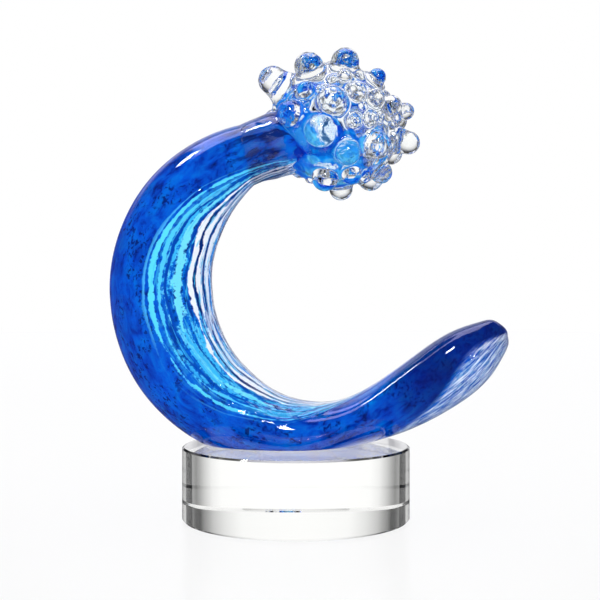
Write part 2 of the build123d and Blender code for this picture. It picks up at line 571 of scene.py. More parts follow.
@dataclass(frozen=True)
class ColourCoat:
    """Cobalt, turquoise and white glass laid over the core, streaked along the flow.

    The mesh gives it three attributes: rod, the straightened place in centimetres, flow, the place along and
    across the streaks, and zones, the shares of streaks, of clear glass and of deep blue. A streak is given
    by its place across the zone, its half-width there and its colour.
    """

    name: str
    navy: Colour = (0.0, 0.012, 0.14)
    cobalt: Colour = (0.0, 0.060, 0.53)
    azure: Colour = (0.0, 0.135, 0.78)
    bright: Colour = (0.0, 0.25, 0.90)
    turquoise: Colour = (0.06, 0.60, 0.97)
    # Colour of the painted glints in the turquoise patches.
    painted_glint_cyan: Colour = (0.22, 0.82, 1.0)
    pale: Colour = (0.88, 0.93, 1.0)
    clear_tint: Colour = (0.72, 0.77, 0.90)
    streaks: tuple[tuple[float, float, Colour], ...] = (
        (1.00, 0.008, (0.10, 0.62, 1.0)),
        (0.91, 0.018, (0.12, 0.75, 1.0)),
        (0.80, 0.012, (0.10, 0.66, 1.0)),
        (0.72, 0.010, (0.0, 0.06, 0.40)),
        (0.63, 0.016, (0.20, 0.80, 1.0)),
        (0.56, 0.010, (0.0, 0.05, 0.35)),
        (0.485, 0.028, (0.97, 0.98, 1.0)),
        (0.415, 0.020, (0.0, 0.02, 0.16)),
        (0.355, 0.026, (0.97, 0.98, 1.0)),
        (0.265, 0.018, (0.0, 0.04, 0.24)),
        (0.205, 0.024, (0.90, 0.96, 1.0)),
        (0.135, 0.016, (0.02, 0.30, 0.85)),
    )
    worn_beyond: float = 0.6
    torn_beyond: float = 0.5
    torn: float = 5.0
    smooth: float = 2.2
    body_cover: float = 0.55
    streak_cover: float = 0.97
    density: float = 0.55

    mottle: Grain = Grain(2.1, 6.0, 0.62, 0.5, (0.55, 1.0, 1.0))
    patches: Grain = Grain(0.9, 2.0)
    specks: Grain = Grain(6.5, 5.0, 0.65, 0.4, (0.8, 1.0, 1.0))
    neck_grain: Grain = Grain(3.2, 3.0, 0.5, 0.2, (0.22, 1.0, 1.0), 3.0)
    wander: Grain = Grain(1.0, 2.0, stretch=(0.16, 0.0, 0.0), shift=2.0)
    bend: Grain = Grain(1.0, 2.0, stretch=(0.20, 3.0, 0.3), shift=4.0)
    lines: Grain = Grain(10.0, 3.0, 0.55, 0.1, (0.022, 1.0, 0.3))
    fine: Grain = Grain(26.0, 3.0, 0.6, 0.1, (0.020, 1.0, 0.3), 7.0)
    frayed: Grain = Grain(16.0, 4.0, 0.65, 0.2, (0.22, 1.0, 0.3), 5.0)
    widths: Grain = Grain(1.0, 2.0, stretch=(0.35, 0.6, 0.3), shift=9.0)
    drawn: Grain = Grain(26.0, 3.0, 0.55, 0.25, (0.034, 1.0, 0.2), 3.0)
    edges: Grain = Grain(16.0, 3.0, 0.6, 0.2, (0.05, 1.0, 0.2), 8.0)

    def material(self) -> bpy.types.Material:
        """A tinted see-through coat, with an opaque share where the colour is dense.

        Returns:
            The material.
        """
        made, sheet = new_material(self.name)
        streak, clear, deep = sheet.split(sheet.attribute("zones"))
        flow = sheet.attribute("flow")
        body = self._ground(sheet, sheet.attribute("rod"), deep)
        body, streaked = self._streaked(sheet, flow, streak, body)
        body, lined = self._lined(sheet, flow, clear, body)
        rest = sheet.math("MULTIPLY_ADD", clear, -self.body_cover, self.body_cover)
        cover = sheet.greatest(rest, streaked, lined)
        through = sheet.seen_through(sheet.blend(clear, body, self.clear_tint), self.density)
        sheet.finish(sheet.mixed(cover, through, sheet.matt(body, 0.5)))
        return made

    def _ground(self, sheet: Sheet, rod: Socket, deep: Reading) -> Socket:
        """The blue under the streaks: mottled, specked with navy, drawn into bands at the neck.

        Args:
            sheet: The material's node sheet.
            rod: The straightened place.
            deep: Share of deep blue.

        Returns:
            The colour.
        """
        blues = ((0.30, self.navy), (0.40, self.cobalt), (0.52, self.azure), (0.70, self.bright))
        body = sheet.ramp(self.mottle.read(sheet, rod), blues)
        patch = sheet.step(0.44, 0.56, self.patches.read(sheet, rod))
        speck = sheet.step(0.52, 0.58, self.specks.read(sheet, rod))
        body = sheet.blend(sheet.times(patch, speck, 0.9), body, self.navy)
        neck = sheet.step(5.2, 2.6, sheet.split(rod)[0])
        grain = self.neck_grain.read(sheet, rod)
        body = sheet.blend(sheet.times(neck, sheet.step(0.46, 0.56, grain)), body, self.bright)
        body = sheet.blend(sheet.times(neck, sheet.step(0.45, 0.39, grain), 0.85), body, self.navy)
        return sheet.blend(sheet.times(deep, 0.85), body, self.navy)

    def _streaked(
        self, sheet: Sheet, flow: Socket, streak: Reading, body: Socket
    ) -> tuple[Socket, Reading]:
        """Lays turquoise patches with painted cyan glints, pale haze, the streaks, fine threads and a navy rim
        over the ground.

        The place across the zone wanders along the flow, and each edge is frayed by a noise that is drawn out
        along it, so a streak keeps its run but not its width.

        Args:
            sheet: The material's node sheet.
            flow: The place along and across the streaks.
            streak: Share of streaks.
            body: The ground's colour.

        Returns:
            The colour, and how far the streaks cover what lies behind.
        """
        across = sheet.split(flow)[1]
        bent = sheet.math("MULTIPLY_ADD", self.bend.read(sheet, flow), 0.30, across)
        bent = sheet.math("MULTIPLY_ADD", self.wander.read(sheet, flow), 0.20, bent)
        spot = sheet.math("SUBTRACT", bent, 0.25)
        fine, frayed, wide = (grain.read(sheet, flow) for grain in (self.fine, self.frayed, self.widths))
        rough = sheet.math("MULTIPLY_ADD", frayed, 0.45, sheet.times(self.lines.read(sheet, flow), 0.55))
        worn = sheet.step(0.36, 0.48, sheet.math("MULTIPLY_ADD", frayed, 0.5, sheet.times(wide, 0.5)))

        body = sheet.blend(sheet.times(streak, sheet.step(0.95, 0.55, across), 0.6), body, self.bright)
        patch = sheet.times(streak, sheet.step(0.475, 0.525, rough), sheet.step(0.93, 0.72, spot))
        body = sheet.blend(patch, body, self.turquoise)
        # Painted glints: light cyan spots inside the turquoise patches.
        body = sheet.blend(sheet.times(patch, sheet.step(0.52, 0.58, fine)), body, self.painted_glint_cyan)
        gap = sheet.times(streak, sheet.step(0.435, 0.405, rough), sheet.step(0.85, 0.60, spot))
        body = sheet.blend(sheet.times(gap, 0.85), body, self.navy)
        haze = sheet.times(streak, sheet.step(0.52, 0.22, spot), sheet.step(0.42, 0.52, fine))
        body = sheet.blend(sheet.times(haze, 0.9), body, self.pale)
        covered = sheet.greatest(sheet.times(patch, 0.8), sheet.times(haze, 0.85))

        for centre, half, colour in self.streaks:
            reach = sheet.math("MULTIPLY_ADD", wide, half * 6.0, -half * 2.0)
            tear = half * (self.torn if centre > self.torn_beyond else self.smooth)
            reach = sheet.math("MULTIPLY_ADD", sheet.math("SUBTRACT", frayed, 0.5), tear, reach)
            away = sheet.math("ABSOLUTE", sheet.math("SUBTRACT", spot, centre))
            line = sheet.times(streak, sheet.step(0.006, -0.006, sheet.math("SUBTRACT", away, reach)))
            if centre > self.worn_beyond:
                line = sheet.times(line, worn)
            body = sheet.blend(line, body, colour)
            covered = sheet.greatest(covered, sheet.times(line, self.streak_cover))

        thread = sheet.times(streak, sheet.step(0.58, 0.63, fine), sheet.step(1.02, 0.85, spot))
        body = sheet.blend(sheet.times(thread, 0.75), body, self.turquoise)
        rim = sheet.times(streak, sheet.step(0.10, 0.05, across))
        return sheet.blend(sheet.times(rim, 0.85), body, self.navy), covered

    def _lined(
        self, sheet: Sheet, flow: Socket, clear: Reading, body: Socket
    ) -> tuple[Socket, Reading]:
        """Draws white, cobalt and turquoise lines in the clear glass of the tail.

        Args:
            sheet: The material's node sheet.
            flow: The place along and across the streaks.
            clear: Share of clear glass.
            body: The colour so far.

        Returns:
            The colour, and how far the lines cover what lies behind.
        """
        drawn = self.drawn.read(sheet, flow)
        edge = sheet.step(0.47, 0.51, self.edges.read(sheet, flow))
        veil = sheet.times(clear, sheet.step(0.525, 0.545, drawn))
        inked = sheet.times(clear, edge, sheet.step(0.455, 0.43, drawn))
        tinged = sheet.times(clear, edge, sheet.step(0.47, 0.49, drawn), sheet.step(0.515, 0.50, drawn))
        body = sheet.blend(veil, body, self.pale)
        body = sheet.blend(inked, body, self.cobalt)
        body = sheet.blend(tinged, body, self.turquoise)
        covered = sheet.greatest(sheet.times(veil, 0.9), sheet.times(inked, 0.75), sheet.times(tinged, 0.7))
        return body, covered


@dataclass(frozen=True)
class FrothColour:
    """Blue glass drawn up into the froth: dense at the neck and gone towards the far side.

    The mesh gives it the attribute root, which is 1 under a drop and falls off around it.
    """

    name: str
    centre: Triple
    away: Triple
    cobalt: Colour = (0.0, 0.045, 0.52)
    azure: Colour = (0.0, 0.20, 0.88)
    turquoise: Colour = (0.06, 0.52, 0.95)
    clear_tint: Colour = (0.95, 0.98, 1.0)
    # Painted highlights and painted shade: the white, grey and dark lines that crinkled clear glass shows.
    crinkle_light_and_shade: Stops = (
        (0.34, (0.04, 0.12, 0.26)),
        (0.40, (0.25, 0.45, 0.60)),
        (0.45, (0.92, 0.97, 0.99)),
        (0.52, (0.74, 0.86, 0.92)),
        (0.555, (0.20, 0.32, 0.44)),
        (0.59, (0.85, 0.94, 0.98)),
        (0.66, (0.05, 0.42, 0.82)),
    )
    fading: float = 15.0
    density: float = 0.6
    blue_cover: float = 0.45
    painted_crinkle_cover: float = 0.35
    patches: Grain = Grain(75.0, 3.0, 0.55, 0.6)
    tones: Grain = Grain(120.0, 3.0, 0.5, 0.6)
    painted_crinkle_noise: Grain = Grain(360.0, 3.0, 0.55, 1.6)
    ragged: Grain = Grain(190.0, 3.0, 0.6, 1.0)

    def material(self) -> bpy.types.Material:
        """A tinted see-through skin, patchy, with painted highlights and painted shade of crinkled clear glass
        under the drops.

        The blue ends where a noise less fading times the distance along away drops under a threshold.

        Returns:
            The material.
        """
        made, sheet = new_material(self.name)
        spot = sheet.node("TexCoord").outputs["Object"]
        along = sheet.vectors("DOT_PRODUCT", sheet.vectors("SUBTRACT", spot, self.centre)[0], self.away)[1]
        fade = sheet.math("MULTIPLY_ADD", along, -self.fading, self.patches.read(sheet, spot))
        dense = sheet.step(0.43, 0.52, fade)
        blues = ((0.38, self.cobalt), (0.50, self.azure), (0.62, self.turquoise))
        colour = sheet.ramp(self.tones.read(sheet, spot), blues)
        root = sheet.node("Attribute", attribute_name="root").outputs["Fac"]
        torn = sheet.math("MULTIPLY_ADD", root, 0.28, sheet.times(self.ragged.read(sheet, spot), 0.72))
        # Under the drops, painted highlights and painted shade of crinkled clear glass take the place of the
        # blue.
        painted_crinkle = sheet.step(0.55, 0.62, torn)
        colour = sheet.blend(painted_crinkle, colour, sheet.ramp(self.painted_crinkle_noise.read(sheet, spot), self.crinkle_light_and_shade))
        through = sheet.seen_through(sheet.blend(dense, self.clear_tint, colour), self.density)
        cover = sheet.times(dense, sheet.math("MULTIPLY_ADD", painted_crinkle, self.painted_crinkle_cover, self.blue_cover))
        sheet.finish(sheet.mixed(cover, through, sheet.matt(colour, 0.4)))
        return made


@dataclass(frozen=True)
class Joint:
    """Where two gathers of glass are fused, or clear adhesive fills the gap, so that no surface shows."""

    name: str

    def material(self) -> bpy.types.Material:
        """A clear pass-through.

        Returns:
            The material.
        """
        made, sheet = new_material(self.name)
        sheet.finish(sheet.clear())
        return made


@dataclass(frozen=True)
class PaleFloor:
    """A white, slightly polished table top."""

    name: str
    glow: float = 0.82
    paint: Colour = (0.93, 0.93, 0.93)
    mirrored: Colour = (0.10, 0.10, 0.11)

    def material(self) -> bpy.types.Material:
        """White paint, which the camera sees lifted to the white of the background.

        Glass looks through it to the surroundings, so their dark flags reach down too, and mirrors it as dim.

        Returns:
            The material.
        """
        made, sheet = new_material(self.name)
        path = sheet.node("LightPath").outputs
        paint = sheet.node("BsdfPrincipled", {"Base Color": (*self.paint, 1.0), "Roughness": 0.12}).outputs[0]
        white = sheet.node("Emission", {"Color": (1.0, 1.0, 1.0, 1.0), "Strength": 1.0}).outputs[0]
        lifted = sheet.mixed(sheet.times(path["Is Camera Ray"], self.glow), paint, white)
        dim = sheet.node("BsdfDiffuse", {"Color": (*self.mirrored, 1.0)}).outputs[0]
        lifted = sheet.mixed(path["Is Glossy Ray"], lifted, dim)
        sheet.finish(sheet.mixed(path["Is Transmission Ray"], lifted, sheet.clear()))
        return made


# ---- Base -----------------------------------------------------------------------------------------------


@dataclass
class CrystalBase:
    """The round crystal base: a solid disc with a polished bevel on both rims. Sizes in millimetres."""

    diameter: float = 100.0
    height: float = 32.0
    bevel: float = 0.8
    clearance: float = 0.02
    around: int = 360
    sharp: float = 12.0

    def surface(self) -> Surface:
        """Disc turned from its profile: flat faces in rings, with a flat bevel at each rim.

        Returns:
            The closed surface, in metres.
        """
        radius = self.diameter / 2.0
        top = self.height - self.clearance
        flat = radius - self.bevel
        rings = np.array([1.0, 0.5 * flat, flat])
        profile = np.concatenate(
            [
                np.stack([rings, np.zeros(3)], axis=-1),
                [[radius, self.bevel], [radius, top - self.bevel]],
                np.stack([rings[::-1], np.full(3, top)], axis=-1),
            ]
        )
        return lathe(profile * MM, self.around)

    def dress(self) -> None:
        """Builds the base and gives it its crystal."""
        mesh = self.surface().to_mesh("crystal_base")
        mesh.set_sharp_from_angle(angle=math.radians(self.sharp))
        place("crystal_base", mesh, ("base_disc",))
        mesh.materials.append(ClearGlass("optical_crystal", (0.995, 0.998, 0.997), 1.52).material())


# ---- Wave -----------------------------------------------------------------------------------------------


@dataclass
class Rod:
    """The bent rod of the wave, from the neck in the froth round the curl to the tail's tip. Millimetres.

    A row of the tail is the step to its section and the step's heading, then the section's slope,
    half-thickness, half-width and twist. streak_width and clear_border are read along the rod: how many
    degrees the streaks reach to each side of the inner line, and where round the rod the clear glass starts.
    """

    curl_radius: float = 76.3
    curl_offset: float = -6.0
    hollow_inset: float = 21.4
    hollow_shift: tuple[float, float] = (24.0, 3.6)
    foot_grind: float = 8.0
    foot_height: float = 32.2
    neck_angle: float = 77.0
    neck_taper: float = 1.9
    taper_angle: float = 140.0
    tail_angle: float = 272.0
    curl_stations: int = 13
    half_widths: tuple[float, float, float] = (12.5, 23.5, 25.0)
    tail: tuple[tuple[float, float, float, float, float, float], ...] = (
        (24.9, 4.3, 13.0, 11.2, 24.5, 8.0),
        (22.2, 20.5, 26.0, 11.9, 24.5, 18.0),
        (26.2, 30.6, 34.0, 12.6, 24.0, 28.0),
        (19.6, 35.9, 38.0, 10.1, 20.0, 32.0),
        (9.0, 39.5, 38.0, 7.0, 14.5, 34.0),
        (4.5, 35.4, 36.0, 4.9, 9.5, 35.0),
        (2.4, 20.0, 34.0, 2.6, 5.0, 35.0),
    )
    tip_length: float = 3.2
    tip_crowding: float = 1.15
    least_half: float = 0.3
    lump_pitch: float = 0.11
    lump_waves: tuple[Triple, ...] = ((1, 1, 0), (1.7, -2, 1), (0.6, 3, 2))
    streak_width: Table = (
        (0, 15, 38, 61, 80, 106, 134, 152, 164, 183, 197, 215, 240),
        (30, 42, 65, 88, 99, 107, 100, 96, 93, 78, 68, 48, 28),
    )
    streak_end: tuple[float, float] = (248.0, 222.0)
    streak_edge: tuple[float, float] = (1.10, 0.90)
    clear_border: Table = (
        (226, 240, 258, 273, 285, 294, 305),
        (122, 90, 70, 50, 37, 43, 75),
    )
    clear_start: tuple[float, float] = (222.0, 238.0)
    clear_end: float = 301.0
    clear_fade: float = 3.0
    clear_edge: float = 8.0
    clear_far: tuple[float, float] = (212.0, 190.0)
    deep_start: tuple[float, float] = (232.0, 262.0)
    deep_before: float = 50.0
    deep_edge: tuple[float, float] = (80.0, 40.0)
    deep_tip: float = 12.0

    @property
    def centre(self) -> tuple[float, float]:
        """The curl's centre, as X and Z."""
        return self.curl_offset, self.foot_height + self.curl_radius - self.foot_grind

    def middle_and_half(self, degrees: np.ndarray) -> tuple[np.ndarray, np.ndarray]:
        """The crescent at an angle.

        The ray from the curl's centre meets the hollow's circle at a + sqrt(a^2 - shift^2 + radius^2), where
        a is the shift along the ray.

        Args:
            degrees: Angles about the curl's centre, anticlockwise from +X.

        Returns:
            Distance of the rod's middle from the curl's centre, and its half-thickness.
        """
        angle = np.radians(degrees)
        along = self.hollow_shift[0] * np.cos(angle) + self.hollow_shift[1] * np.sin(angle)
        shift = self.hollow_shift[0] ** 2 + self.hollow_shift[1] ** 2
        inner = along + np.sqrt(along**2 - shift + (self.curl_radius - self.hollow_inset) ** 2)
        share = (degrees - self.neck_angle) / (self.taper_angle - self.neck_angle)
        taper = eased(self.neck_taper, 0.0, share)
        return (self.curl_radius + inner) / 2.0, (self.curl_radius - inner) / 2.0 - taper

    def half_width(self, degrees: np.ndarray) -> np.ndarray:
        """Half-width of the curl, eased from the neck to the belly and from there to the foot.

        Args:
            degrees: Angles about the curl's centre.

        Returns:
            The half-widths.
        """
        neck, belly, foot = self.half_widths
        upper = eased(neck, belly, (degrees - self.neck_angle) / (180.0 - self.neck_angle))
        lower = eased(belly, foot, (degrees - 180.0) / (self.tail_angle - 180.0))
        return np.where(degrees < 180.0, upper, lower)

    def stations(self) -> np.ndarray:
        """Every cross-section: X, Z, slope, half-thickness, half-width and twist, one row each.

        Returns:
            The rows, in millimetres and degrees.
        """
        degrees = np.linspace(self.neck_angle, self.tail_angle, self.curl_stations)
        middle, half = self.middle_and_half(degrees)
        angle = np.radians(degrees)
        x, z = self.centre
        wide = self.half_width(degrees)
        columns = [x + middle * np.cos(angle), z + middle * np.sin(angle), degrees + 90.0, half, wide]
        curl = np.stack([*columns, np.zeros_like(degrees)], axis=-1)
        tail = np.array(self.tail)
        heading = np.radians(tail[:, 1])
        steps = np.stack([tail[:, 0] * np.cos(heading), tail[:, 0] * np.sin(heading)], axis=-1)
        places = curl[-1, :2] + np.cumsum(steps, axis=0)
        rest = np.concatenate([places, tail[:, 2:3] + 360.0, tail[:, 3:]], axis=1)
        return np.concatenate([curl, rest])

    def sections(self, rings: int) -> tuple[np.ndarray, np.ndarray]:
        """Sections along the rod, on a spline through the stations, a little closer together towards the tip.

        Args:
            rings: Number of sections.

        Returns:
            Distance of each section from the neck, and its row as stations() gives it.
        """
        rows = self.stations()
        knots = np.concatenate([[0.0], np.cumsum(np.hypot(*np.diff(rows[:, :2], axis=0).T))])
        along = knots[-1] * (1.0 - (1.0 - np.linspace(0.0, 1.0, rings)) ** self.tip_crowding)
        return along, natural_spline(knots, rows, along)

    def skin(self, wall: float, rings: int, around: int, lumps: float, short: float = 0.0) -> Surface:
        """The rod's surface, a wall's thickness inside its outline.

        A point is C + a cos(p) (cos(t) F - sin(t) O) + b sin(p) (sin(t) F + cos(t) O), with F towards the
        viewer, O = (sin(slope), 0, -cos(slope)), t the twist, and a and b the half-width and half-thickness.
        Towards the tip both fall as sqrt(1 - w^2). Nothing reaches below the ground foot.

        Args:
            wall: How far inside the outline it lies.
            rings: Sections along the rod.
            around: Points in each section.
            lumps: Depth of slow hand-made waves, always inwards.
            short: How much sooner it ends than the outline.

        Returns:
            The surface in metres, with the values rod, flow and zones.
        """
        along, rows = self.sections(rings)
        reach = along[-1] - short
        kept = along <= reach + 1e-9
        x, z, slope, thick, wide, twist = (column[:, None] for column in rows[kept].T)
        distance = along[kept][:, None]
        turn = np.linspace(0.0, 2.0 * np.pi, around, endpoint=False)[None, :]
        close = np.clip((distance - (reach - self.tip_length)) / self.tip_length, 0.0, 1.0)
        end = np.sqrt(1.0 - close**2 * 0.9999)
        waves = ripples(distance * self.lump_pitch, turn, self.lump_waves)
        sunk = wall + lumps * (0.5 + 0.5 * waves)
        across = np.maximum(wide - sunk, self.least_half) * end * np.cos(turn)
        through = np.maximum(thick - sunk, self.least_half) * end * np.sin(turn)
        cos_t, sin_t = np.cos(np.radians(twist)), np.sin(np.radians(twist))
        front = across * cos_t + through * sin_t
        outer = through * cos_t - across * sin_t
        slope = np.radians(slope)
        height = np.maximum(z - outer * np.cos(slope), self.foot_height + wall)
        grid = np.stack([x + outer * np.sin(slope), -front, height], axis=-1)
        flow, zones = self.pattern(distance, turn)
        rod = np.stack(np.broadcast_arrays(distance, across, through), axis=-1) / 10.0
        values = {"rod": with_poles(rod), "flow": with_poles(flow), "zones": with_poles(zones)}
        return Surface(with_poles(grid) * MM, *tube_faces(len(grid), around), values)

    def pattern(self, distance: np.ndarray, turn: np.ndarray) -> tuple[np.ndarray, np.ndarray]:
        """Where the streaks run and how much streak, clear glass and deep blue there is.

        The angle from the rod's inner line, over the streak zone's own width there, is the coordinate across,
        so the streaks draw together where the zone narrows.

        Args:
            distance: Distance from the neck, one a row.
            turn: Angle round the section from the viewer's side, one a column.

        Returns:
            The vectors flow and zones for each point.
        """
        quarter = np.pi / 2.0
        from_inner = np.degrees(np.abs(np.arctan2(np.sin(turn + quarter), np.cos(turn + quarter))))
        across = from_inner / read_table(self.streak_width, distance)
        share = smooth_step(*self.streak_edge, across) * smooth_step(*self.streak_end, distance)
        degrees = np.degrees(np.mod(turn + quarter, 2.0 * np.pi)) - 90.0
        past = degrees - read_table(self.clear_border, distance)
        clear = smooth_step(-self.clear_edge, self.clear_edge, past) * smooth_step(*self.clear_far, degrees)
        clear = clear * smooth_step(*self.clear_start, distance)
        clear = clear * smooth_step(self.clear_end + self.clear_fade, self.clear_end, distance)
        beside = smooth_step(*self.deep_edge, np.abs(past + self.deep_before))
        deep = smooth_step(*self.deep_start, distance) * beside
        deep = np.maximum(deep, smooth_step(self.clear_end - self.deep_tip, self.clear_end, distance))
        flow = np.stack(np.broadcast_arrays(distance / 10.0, across, np.cos(turn)), axis=-1)
        zones = np.stack(np.broadcast_arrays(share, clear, deep * (1.0 - clear)), axis=-1)
        return flow, zones


def read_table(table: Table, distance: np.ndarray) -> np.ndarray:
    """A smooth curve through a table of distances and values, held at its ends.

    Args:
        table: The distances, and the value at each.
        distance: Where it is read, one a row.

    Returns:
        The values, one a row.
    """
    knots, values = np.array(table[0], float), np.array(table[1], float)[:, None]
    return natural_spline(knots, values, np.clip(distance[:, 0], knots[0], knots[-1]))


def with_poles(grid: np.ndarray) -> np.ndarray:
    """The rings of a grid as rows, followed by the mean of the first ring and of the last.

    Args:
        grid: Vectors, ring by ring.

    Returns:
        One row a point, in the order that tube_faces takes.
    """
    poles = np.stack([grid[0].mean(axis=0), grid[-1].mean(axis=0)])
    return np.concatenate([grid.reshape(-1, 3), poles])


@dataclass
class Wave:
    """The cased wave: its clear casing, the colour inside it, and the adhesive under its foot."""

    rod: Rod
    head_centre: np.ndarray
    head_radius: float
    casing_depth: float = 0.03
    coat_depth: float = 1.1
    coat_short: float = 2.0
    lumps: float = 0.35
    fused_margin: float = 0.4
    rings: int = 420
    around: int = 200
    sharp: float = 35.0

    def dress(self) -> None:
        """Builds and dresses the casing and the colour, and dresses the adhesive film."""
        self._casing()
        self._coat()
        self._film()

    def _casing(self) -> None:
        """The clear casing. Its faces inside the froth's head are fused, so they pass light straight on."""
        mesh = self.rod.skin(self.casing_depth, self.rings, self.around, self.lumps).to_mesh("wave_casing")
        place("wave_casing", mesh, ("clear_casing",))
        glass = ClearGlass("fire_polished_casing", (0.975, 0.99, 1.0), rib_depth=0.0012)
        mesh.materials.append(glass.material())
        mesh.materials.append(Joint("fused_neck").material())
        reach = np.linalg.norm(face_middles(mesh) - self.head_centre, axis=1)
        fused = reach < self.head_radius - self.fused_margin
        mesh.polygons.foreach_set("material_index", fused.astype(np.int32))
        mesh.set_sharp_from_angle(angle=math.radians(self.sharp))

    def _coat(self) -> None:
        """The colour laid over the core, just inside the casing."""
        skin = self.rod.skin(self.coat_depth, self.rings, self.around, self.lumps, self.coat_short)
        mesh = skin.to_mesh("wave_colour")
        place("wave_colour", mesh, ("colour_core",))
        mesh.materials.append(ColourCoat("cobalt_and_turquoise").material())

    def _film(self) -> None:
        """Gives the CAD's adhesive film, which stays, a clear finish."""
        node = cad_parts["bond_film"]
        made = Joint("clear_adhesive").material()
        if node.data.materials:
            node.material_slots[0].material = made
        else:
            node.data.materials.append(made)


# ---- Froth ----------------------------------------------------------------------------------------------


@dataclass
class Froth:
    """The gathered head and its drops, fused into one skin, with blue drawn up inside. Sizes in millimetres.

    A drop in front is given by its polar angle from the head's axis, its azimuth from the head's lower side
    towards the viewer, and its radius. A drawn drop has its own rise too. A row behind is given by its polar
    angle, its count, its radius and the azimuth that it leaves free at each end.
    """

    rod: Rod
    radius: float = 27.0
    angle: float = 72.4
    inset: float = 0.24
    lean: float = 44.0
    rise: float = 0.6
    swell: float = 1.14
    sink: float = 0.10
    root_flare: float = 1.55
    waist_height: float = 0.10
    flank_hollow: float = 0.10
    front: tuple[Triple, ...] = (
        (75, 148, 5.6), (47, 134, 5.4), (24, 96, 3.5), (43, 52, 4.2), (89, 0, 4.4), (105, 16, 2.2),
        (113, 36, 3.9), (134, 46, 5.0), (81, 46, 5.3), (69, 66, 2.8), (82, 76, 2.4), (84, 101, 5.2),
        (62, 94, 3.8), (50, 76, 3.4), (109, 90, 5.9), (116, 124, 5.0), (93, 127, 3.4), (63, 28, 2.5),
        (104, 60, 4.8), (58, 115, 2.6),
    )  # fmt: skip
    drawn: tuple[tuple[float, float, float, float], ...] = (
        (101, 170, 5.7, 7.0), (36, 20, 3.4, 5.3), (57, 0, 4.6, 7.0),
    )  # fmt: skip
    back: tuple[tuple[float, int, float, float], ...] = (
        (40, 3, 4.8, 30), (68, 5, 4.9, 22), (96, 5, 5.3, 23), (123, 4, 4.8, 30),
    )  # fmt: skip

    skirt_degrees: tuple[float, float] = (109.0, 84.0)
    skirt_swell: Table = ((84.0, 93.0, 99.0, 104.0, 109.0), (6.0, 4.2, 1.6, 0.1, -1.6))
    skirt_grid: tuple[int, int] = (24, 64)
    gather_inset: float = 0.3
    gather_share: float = 0.30
    gather_spread: tuple[float, float] = (2.3, 3.0)
    gather_waves: float = 0.7
    gather_limit: float = 2.4
    fold_radius: float = 3.0
    fold_count: int = 130
    fold_sizes: tuple[float, float] = (0.75, 0.35)
    fold_room: tuple[float, float] = (1.05, 0.45)
    fold_sink: float = 0.45
    voxel: float = 0.53
    relax_rounds: int = 14
    relax_factor: float = 0.5
    fused_margin: float = 0.4

    heart_radius: float = 21.5
    heart_limit: float = 25.8
    heart_hollow: float = 3.5
    heart_rise: float = 0.5
    heart_fade: tuple[float, float] = (-0.1, 0.7)
    heart_spread: float = 1.7
    root_spread: float = 2.3
    neck_end: float = 130.0
    colour_lean: float = 52.0

    @property
    def centre(self) -> np.ndarray:
        """The head's centre, on the curl just inside its outer arc.

        Returns:
            The place, in millimetres.
        """
        x, z = self.rod.centre
        angle = math.radians(self.angle)
        reach = self.rod.curl_radius - self.inset
        return np.array([x + reach * math.cos(angle), 0.0, z + reach * math.sin(angle)])

    @property
    def axis(self) -> np.ndarray:
        """The direction that the head leans in."""
        return tilted(self.lean)

    def places(self) -> np.ndarray:
        """Polar angle, azimuth, radius and rise of every drop.

        Returns:
            One row a drop.
        """
        rows = [(polar, azimuth, radius, self.rise * radius) for polar, azimuth, radius in self.front]
        rows += list(self.drawn)
        for polar, count, radius, margin in self.back:
            pitch = (180.0 - 2.0 * margin) / (count - 1)
            rows += [(polar, -margin - pitch * i, radius, self.rise * radius) for i in range(count)]
        return np.array(rows, dtype=float)

    def outward(self, polar: float, azimuth: float) -> np.ndarray:
        """A direction from the head's centre.

        It is axis cos(polar) + (down cos(azimuth) + viewer sin(azimuth)) sin(polar).

        Args:
            polar: Degrees from the head's axis.
            azimuth: Degrees from the head's lower side towards the viewer.

        Returns:
            The unit direction.
        """
        tilt, turn = math.radians(polar), math.radians(azimuth)
        down = np.array([self.axis[2], 0.0, -self.axis[0]])
        sideways = down * math.cos(turn) + np.array([0.0, -1.0, 0.0]) * math.sin(turn)
        return self.axis * math.cos(tilt) + sideways * math.sin(tilt)

    def degrees_from(self, out: np.ndarray, polar: float, azimuth: float) -> np.ndarray:
        """The angle between a drop's direction and others.

        Args:
            out: Unit directions, one a row.
            polar: The drop's polar angle.
            azimuth: The drop's azimuth.

        Returns:
            The angles in degrees.
        """
        return np.degrees(np.arccos(np.clip(out @ self.outward(polar, azimuth), -1.0, 1.0)))

    def drop(self, polar: float, azimuth: float, radius: float, rise: float) -> Surface:
        """A drop turned about its own axis: a root that flares onto the head, a waist, and a ball.

        The flank between root and waist is a parabola drawn in by its own share of the radius.

        Args:
            polar: Degrees from the head's axis.
            azimuth: Degrees from the head's lower side towards the viewer.
            radius: Radius of the ball.
            rise: Height of the ball's centre above the head.

        Returns:
            The closed surface, in millimetres.
        """
        radius, rise = radius * self.swell, rise - self.sink * radius
        root = radius * self.root_flare
        depth = self.radius - math.sqrt(self.radius**2 - root**2)
        waist = radius * math.sqrt(1.0 - self.waist_height**2)
        waist_z = rise - radius * self.waist_height
        share = np.linspace(0.0, 1.0, 8)
        hollow = 4.0 * share * (1.0 - share) * radius * self.flank_hollow
        reach = root + (waist - root) * share - hollow
        flank = np.stack([reach, -depth + (waist_z + depth) * share], axis=-1)
        bow = np.linspace(-math.asin(self.waist_height), np.pi / 2.0, 14)[1:-1]
        ball = np.stack([radius * np.cos(bow), rise + radius * np.sin(bow)], axis=-1)
        buried = np.array([[root * 0.9, -depth - 2.5]])
        turned = lathe(np.concatenate([buried, flank, ball]), 32)
        turned.points[-1, 2] = rise + radius
        out = self.outward(polar, azimuth)
        across = np.cross(out, [0.0, 1.0, 0.3])
        across /= np.linalg.norm(across)
        turned.points = turned.points @ np.stack([across, np.cross(out, across), out]) + self.centre
        turned.points += out * self.radius
        return turned

